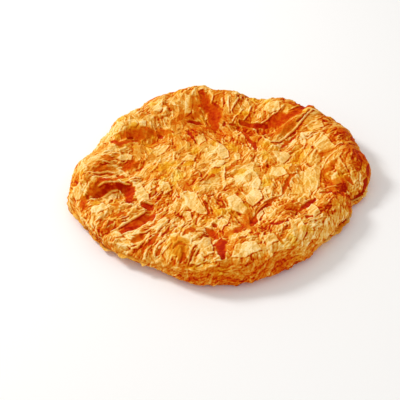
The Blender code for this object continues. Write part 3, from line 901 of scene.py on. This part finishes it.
# The same corners on the flat map: the side is unrolled outwards from the top's edge
runs = np.linalg.norm(np.diff(np.concatenate((top_edge[None], side_places)), axis=0), axis=2)
unrolled = (border_reach - TOP_EDGE_INSET) + np.cumsum(runs, axis=0)
side_plan = in_plan(unrolled, border_turn)

net_places = np.concatenate(
    (middle_places, rim_places, side_places.reshape(-1, 3), [(0.0, 0.0, 0.0)])
)
net_plan = np.concatenate((middle_plan, rim_plan, side_plan, [(0.0, 0.0)]))


def rows_of_faces(above, first, rows):
    """Quads from one ring of corners down through rows of new corners, and the last ring."""
    faces = []
    for row in range(rows):
        below = first + row * columns + np.arange(columns)
        faces.append(np.stack((np.roll(above, -1), above, below, np.roll(below, -1)), -1))
        above = below
    return np.concatenate(faces), above


middle_faces = np.stack((grid[:-1, :-1], grid[1:, :-1], grid[1:, 1:], grid[:-1, 1:]), -1)
middle_faces = middle_faces.reshape(-1, 4)
rim_faces, edge_ids = rows_of_faces(border_ids, len(middle_places), RIM_ROWS)
side_first = len(middle_places) + len(rim_places)
side_faces, foot_ids = rows_of_faces(edge_ids, side_first, SIDE_ROWS)
under_middle = len(net_places) - 1
under_faces = np.stack((foot_ids, np.full(columns, under_middle), np.roll(foot_ids, -1)), -1)
quads = np.concatenate((middle_faces, rim_faces, side_faces))
moving = np.ones(len(net_places), bool)
moving[foot_ids] = False
moving[under_middle] = False


def evened(places, rounds):
    """Draws each corner of the net towards its neighbours, to lose the solid's facets."""
    start = np.concatenate([quads[:, k] for k in range(4)])
    end = np.concatenate([quads[:, (k + 1) % 4] for k in range(4)])
    starts, ends = np.concatenate((start, end)), np.concatenate((end, start))
    count = np.maximum(np.bincount(starts, minlength=len(places)), 1)
    for _ in range(rounds):
        for axis in range(3):
            mean = np.bincount(starts, places[ends, axis], len(places)) / count
            places[moving, axis] += EVEN_PACE * (mean - places[:, axis])[moving]
    return places


def outward_normals(places):
    """The way out of the dough at each corner of the net."""
    across = places[quads[:, 2]] - places[quads[:, 0]]
    along = places[quads[:, 3]] - places[quads[:, 1]]
    quad_normals = np.cross(across, along)
    total = np.zeros_like(places)
    for corner in range(4):
        for axis in range(3):
            pulls = quad_normals[:, axis]
            total[:, axis] += np.bincount(quads[:, corner], pulls, len(places))
    total[-1] = (0.0, 0.0, -1.0)
    return total / np.maximum(np.linalg.norm(total, axis=1, keepdims=True), 1e-9)


def on_sheet(field, plan):
    """Reads a field of the flat map at places on it."""
    column, row = (plan.T + HALF_SHEET) / SHEET_CELL - 0.5
    return between_cells(field, column, row)


# Where leaves of dough end down the side: first and last angle in degrees, height at both,
# how far they stick out and droop, and the height of the gap above them, or below where
# negative, which is carved in and painted dark as its shade
LEAVES = (
    (334, 347, 6.0, 8.0, 3.5, 0.5, 6.5),
    (317, 333, 4.5, 7.5, 3.5, 0.2, 4.5),
    (308, 319, 8.0, 7.0, 2.5, 0.5, 2.5),
    (224, 241, 12.0, 11.0, 3.5, 2.5, -5.0),
    (190, 216, 10.0, 7.0, 2.5, 1.0, 1.8),
    (197, 222, 5.5, 3.5, 2.5, 0.5, 1.6),
)
GAP_DEPTH = 2.5
GAP_SHADE = 0.9
FLAT_FOOT_HEIGHT = 5.0

net_places = evened(net_places, EVEN_ROUNDS)
net_angle = np.degrees(np.arctan2(net_places[:, 1], net_places[:, 0])) % 360
ragged = on_sheet(cloudy(15, 4), net_plan)
net_gap = np.zeros(len(net_places))
for first, final, start_height, end_height, _, _, gap in LEAVES:
    share = (net_angle - first) / (final - first)
    ends = smooth(np.minimum(share, 1.0 - share) / 0.25)
    leaf_height = start_height + (end_height - start_height) * np.clip(share, 0.0, 1.0)
    past = (net_places[:, 2] - leaf_height) / gap + 0.15 * ragged
    opening = smooth(past / 0.2) * (1.0 - smooth((past - 0.6) / 0.4))
    net_gap = np.maximum(net_gap, ends * opening)
net_gap[:side_first] = 0.0
net_gap *= moving
lift = on_sheet(relief, net_plan) * smooth(net_places[:, 2] / FLAT_FOOT_HEIGHT) * moving
lift -= GAP_DEPTH * net_gap
net_places = net_places + outward_normals(net_places) * lift[:, None]
net_places[:, 2] = np.maximum(net_places[:, 2], 0.0)
net_normals = outward_normals(net_places)
# The gaps by the leaves are painted darker, as the shade in them
net_tone = on_sheet(tone, net_plan) * (1.0 - GAP_SHADE * net_gap)
net_patch = on_sheet(buttery_patch, net_plan)
net_gold = on_sheet(gold, net_plan)


def in_scene(name, data):
    """A new object in the scene, made from that mesh, lamp or camera."""
    thing = bpy.data.objects.new(name, data)
    bpy.context.scene.collection.objects.link(thing)
    return thing


def made_piece(name, places, faces):
    """A smooth piece in the scene, its places turned from millimetres into metres."""
    mesh = bpy.data.meshes.new(name)
    mesh.from_pydata((places * MM).tolist(), [], [face.tolist() for face in faces])
    mesh.shade_smooth()
    return in_scene(name, mesh)


def new_finish(name):
    """A new material, and the inputs of its shader."""
    finish = bpy.data.materials.new(name)
    finish.use_nodes = True
    return finish, finish.node_tree.nodes["Principled BSDF"].inputs


def keep_bake_and_shade(piece, **layers):
    """Keeps numbers from 0 to 1 for each corner of a piece, for its material to read."""
    for name, values in layers.items():
        layer = piece.data.attributes.new(name, "FLOAT", "POINT")
        layer.data.foreach_set("value", np.clip(values, 0.0, 1.0).astype(np.float32))


def cut_from_net(name, *face_sets):
    """One piece of the net with its own corners, shaded as one with the rest of the net."""
    used = np.unique(np.concatenate([faces.ravel() for faces in face_sets]))
    renumbered = np.zeros(len(net_places), int)
    renumbered[used] = np.arange(len(used))
    faces = [face for faces in face_sets for face in renumbered[faces]]
    piece = made_piece(name, net_places[used], faces)
    piece.data.normals_split_custom_set_from_vertices(net_normals[used].tolist())
    keep_bake_and_shade(piece, tone=net_tone[used], patch=net_patch[used], gold=net_gold[used])
    return piece


top_middle = cut_from_net("top_middle", middle_faces)
top_rim = cut_from_net("top_rim", rim_faces)
side_wall = cut_from_net("side_wall", side_faces, under_faces)


class Signal:
    """A shader socket that reads like a number: what is worked out with it adds nodes."""

    def __init__(self, socket):
        self.socket = socket

    def node(self, kind, settings=None, sockets=None, output=0):
        """A node in the same tree: its type, its settings, then what its sockets take."""
        tree = self.socket.id_data
        made = tree.nodes.new(kind)
        for name, value in (settings or {}).items():
            setattr(made, name, value)
        for name, value in (sockets or {}).items():
            if isinstance(value, Signal):
                tree.links.new(value.socket, made.inputs[name])
            else:
                made.inputs[name].default_value = value
        return Signal(made.outputs[output])

    def math(self, operation, *values):
        return self.node("ShaderNodeMath", {"operation": operation}, dict(enumerate(values)))

    def __add__(self, other):
        return self.math("ADD", self, other)

    __radd__ = __add__

    def __mul__(self, other):
        return self.math("MULTIPLY", self, other)

    __rmul__ = __mul__

    def __sub__(self, other):
        return self.math("SUBTRACT", self, other)

    def __rsub__(self, other):
        return self.math("SUBTRACT", other, self)

    def mixed(self, start, end):
        """From start to end, both colours, as this signal goes from 0 to 1."""
        return self.node("ShaderNodeMix", {"data_type": "RGBA"}, {0: self, 6: start, 7: end}, 2)

    def coloured(self, stops):
        """Through those colours, each at its place, as this signal goes from 0 to 1."""
        made = self.node("ShaderNodeValToRGB", None, {"Fac": self})
        elements = made.socket.node.color_ramp.elements
        while len(elements) < len(stops):
            elements.new(1.0)
        for element, (place, *colour) in zip(elements, stops):
            element.position = place
            element.color = linear(colour)
        return made


def linear(colour):
    """A colour as a picture shows it, up to 255, in the values that a shader takes."""
    share = np.array(colour) / 255.0
    values = np.where(share > 0.04045, ((share + 0.055) / 1.055) ** 2.4, share / 12.92)
    return (*values.tolist(), 1.0)


# The bake, from red brown to pale cream, and the same for crust that is soaked in butter:
# place, then red, green and blue
BAKE_COLOURS = (
    (0.00, 166, 17, 2), (0.15, 200, 58, 2), (0.30, 212, 97, 6), (0.45, 220, 131, 26),
    (0.60, 230, 160, 60), (0.75, 240, 187, 95), (0.90, 248, 206, 128), (1.00, 255, 224, 160),
)
GOLD_COLOURS = (
    (0.00, 176, 50, 2), (0.25, 208, 100, 4), (0.50, 226, 146, 16), (0.75, 240, 184, 56),
    (1.00, 253, 218, 116),
)

CRUMB_SCALE, CRUMB_CONTRAST = 620.0, 0.6
BLUSH_SCALE, BLUSH_CONTRAST = 60.0, 0.2
CRUMB_HEIGHT = 0.0007
DRY_ROUGHNESS = 0.75
SHEEN = 0.04
SHEEN_TINT = (1.0, 0.4, 0.03, 1.0)

crust_finish, crust_inputs = new_finish("baked crust")
position = Signal(crust_finish.node_tree.nodes.new("ShaderNodeTexCoord").outputs["Object"])
# The tone read here holds how the crust bakes with the painted light and shade laid over it
baked, buttery, golden = (
    position.node("ShaderNodeAttribute", {"attribute_name": name}, output="Fac")
    for name in ("tone", "patch", "gold")
)
crumb, blush = (
    position.node(
        "ShaderNodeTexNoise",
        None,
        {"Vector": position, "Scale": scale, "Detail": 4.0, "Roughness": roughness},
    )
    for scale, roughness in ((CRUMB_SCALE, 0.7), (BLUSH_SCALE, 0.5))
)
bake = baked + (crumb - 0.5) * (CRUMB_CONTRAST - 0.4 * buttery) + (blush - 0.5) * BLUSH_CONTRAST
colour = golden.mixed(bake.coloured(BAKE_COLOURS), bake.coloured(GOLD_COLOURS))
ripple = crumb.node(
    "ShaderNodeBump", None, {"Height": crumb, "Strength": 0.5, "Distance": CRUMB_HEIGHT}, "Normal"
)
links = crust_finish.node_tree.links
links.new(colour.socket, crust_inputs["Base Color"])
links.new((DRY_ROUGHNESS - 0.2 * buttery).socket, crust_inputs["Roughness"])
links.new(ripple.socket, crust_inputs["Normal"])
crust_inputs["Specular IOR Level"].default_value = SHEEN
crust_inputs["Specular Tint"].default_value = SHEEN_TINT
for piece in (top_middle, top_rim, side_wall):
    piece.data.materials.append(crust_finish)
    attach(piece, "root")
    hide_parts("feteer")

# ---------------------------------------------------------------- the leaves down the side
# Under the crust the leaves of dough end in thin dry fringes. They grow out of the side
# where the sheets were folded under, are ragged at the tip, and droop a little.

LEAF_STEP = 0.4
LEAF_ROWS = 9
LEAF_ROOT = 3.0
LEAF_TUCK = 1.5
LEAF_THICKNESS = 0.8
LEAF_THINNING = 0.35
LEAF_FLUTTER = 0.8
LEAF_GOLD = 0.3
LEAF_RADIUS = 144.0
SIDE_RADIUS = 150.0


def leaf_of_dough(first, final, start_height, end_height, out, droop):
    """A closed ribbon along the side: its corners, its faces and how pale each corner is, with
    painted shade darkening its root and its underside.
    """
    count = int(math.radians(final - first) * LEAF_RADIUS / LEAF_STEP)
    share = np.linspace(0.0, 1.0, count)
    angle = np.radians(first + (final - first) * share)
    aim = outwards(angle)
    plan = aim[:, :2] * SIDE_RADIUS
    root_height = start_height + (end_height - start_height) * share + on_sheet(waviness, plan)
    start = aim * (reach(angle) - SPINE_INSET)[:, None]
    start[:, 2] = root_height
    root = struck(start, aim)
    ends = smooth(np.minimum(share, 1.0 - share) / 0.2)
    width = (out + LEAF_TUCK) * ends * (0.75 + 0.25 * on_sheet(fringe, plan)) - LEAF_TUCK
    corners, pale = [], []
    across = np.linspace(0.0, 1.0, LEAF_ROWS)
    for side in (1.0, -1.0):
        for part in across[::int(side)]:
            place = root + aim * (-LEAF_ROOT + part * (LEAF_ROOT + width))[:, None]
            place[:, 2] += side * LEAF_THICKNESS * (0.5 - LEAF_THINNING * part)
            place[:, 2] += LEAF_FLUTTER * part * on_sheet(flutter, plan) - droop * part**2
            corners.append(place)
            # Paler towards the tip and on the top face: painted shade at the root and underneath
            pale.append(0.3 + 0.4 * part * (0.6 + 0.4 * side) + 0.12 * on_sheet(fringe, plan))
    around_it = 2 * LEAF_ROWS
    index = np.arange(around_it * count).reshape(around_it, count)
    here, below = index[:, :-1], np.roll(index, -1, axis=0)[:, :-1]
    faces = np.stack((here, below, below + 1, here + 1), -1).reshape(-1, 4)
    return np.concatenate(corners), faces, np.concatenate(pale)


waviness, flutter = 0.6 * cloudy(90, 14), cloudy(92, 12)
fringe = 0.8 * cloudy(91, 12) + 0.25 * cloudy(93, 3)
leaf_corners, leaf_faces, leaf_tone_and_shade = [], [], []
corner_count = 0
for *outline, gap in LEAVES:
    corners, faces, pale = leaf_of_dough(*outline)
    leaf_corners.append(corners)
    leaf_faces.append(faces + corner_count)
    leaf_tone_and_shade.append(pale)
    corner_count += len(corners)
side_leaves = made_piece("side_leaves", np.concatenate(leaf_corners), np.concatenate(leaf_faces))
leaf_patch, leaf_gold = np.zeros(corner_count), np.full(corner_count, LEAF_GOLD)
keep_bake_and_shade(side_leaves, tone=np.concatenate(leaf_tone_and_shade), patch=leaf_patch, gold=leaf_gold)
side_leaves.data.materials.append(crust_finish)
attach(side_leaves, "root")
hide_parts("feteer")

# ---------------------------------------------------------------- floor, light and camera
# A plain white table in a bright studio: a soft lamp from the upper left behind the
# pastry, a weak wide one in front of it, and pale light from all round.

FLOOR_HALF = 3000.0
TABLE_WHITE = 0.92
TABLE_ROUGHNESS = 0.8
STUDIO_COLOUR = (1.0, 0.97, 0.93, 1.0)
STUDIO_STRENGTH = 0.66

signs = np.array(((-1, -1, 0), (1, -1, 0), (1, 1, 0), (-1, 1, 0)))
floor = made_piece("floor", FLOOR_HALF * signs, np.array([(0, 1, 2, 3)]))
floor_finish, floor_inputs = new_finish("white table")
floor_inputs["Base Color"].default_value = (TABLE_WHITE, TABLE_WHITE, TABLE_WHITE, 1.0)
floor_inputs["Roughness"].default_value = TABLE_ROUGHNESS
floor.data.materials.append(floor_finish)

world = bpy.data.worlds.new("studio")
bpy.context.scene.world = world
world.use_nodes = True
world_inputs = world.node_tree.nodes["Background"].inputs
world_inputs["Color"].default_value = STUDIO_COLOUR
world_inputs["Strength"].default_value = STUDIO_STRENGTH


def lamp(name, place, size, power):
    """A square soft lamp aimed at the pastry: place and size in metres, power in watts."""
    light = bpy.data.lights.new(name, "AREA")
    light.size = size
    light.energy = power
    holder = in_scene(name, light)
    holder.location = place
    holder.rotation_euler = (-Vector(place)).to_track_quat("-Z", "Y").to_euler()


lamp("key", place=(-1.0, 0.7, 1.0), size=0.4, power=15.5)
lamp("front", place=(0.3, -1.2, 0.9), size=0.9, power=2.6)

# The camera stands where the photo was taken from. Its lens and sensor are in
# millimetres and its distance in metres, and the pixel is the photo's one at the origin
PHOTO_SIZE = 400
LENS, SENSOR = 85.0, 36.0
ELEVATION = math.radians(38.0)
ROLL = math.radians(4.8)
DISTANCE = 0.9105
ORIGIN_PIXEL = (219.07, 186.0)

back = Vector((0.0, -math.cos(ELEVATION), math.sin(ELEVATION)))
level = Vector((1.0, 0.0, 0.0))
upright = back.cross(level)
right = math.cos(ROLL) * level - math.sin(ROLL) * upright
up = math.sin(ROLL) * level + math.cos(ROLL) * upright
pixels_per_unit = LENS / SENSOR * PHOTO_SIZE
aside = (ORIGIN_PIXEL[0] - PHOTO_SIZE / 2) / pixels_per_unit * DISTANCE
above_middle = (PHOTO_SIZE / 2 - ORIGIN_PIXEL[1]) / pixels_per_unit * DISTANCE
eye = back * DISTANCE - right * aside - up * above_middle

camera_data = bpy.data.cameras.new("camera")
camera_data.lens = LENS
camera_data.sensor_width = SENSOR
camera = in_scene("camera", camera_data)
camera.matrix_world = Matrix(
    [(right[k], up[k], back[k], eye[k]) for k in range(3)] + [(0.0, 0.0, 0.0, 1.0)]
)
bpy.context.scene.camera = camera
bpy.context.scene.view_settings.view_transform = "Standard"
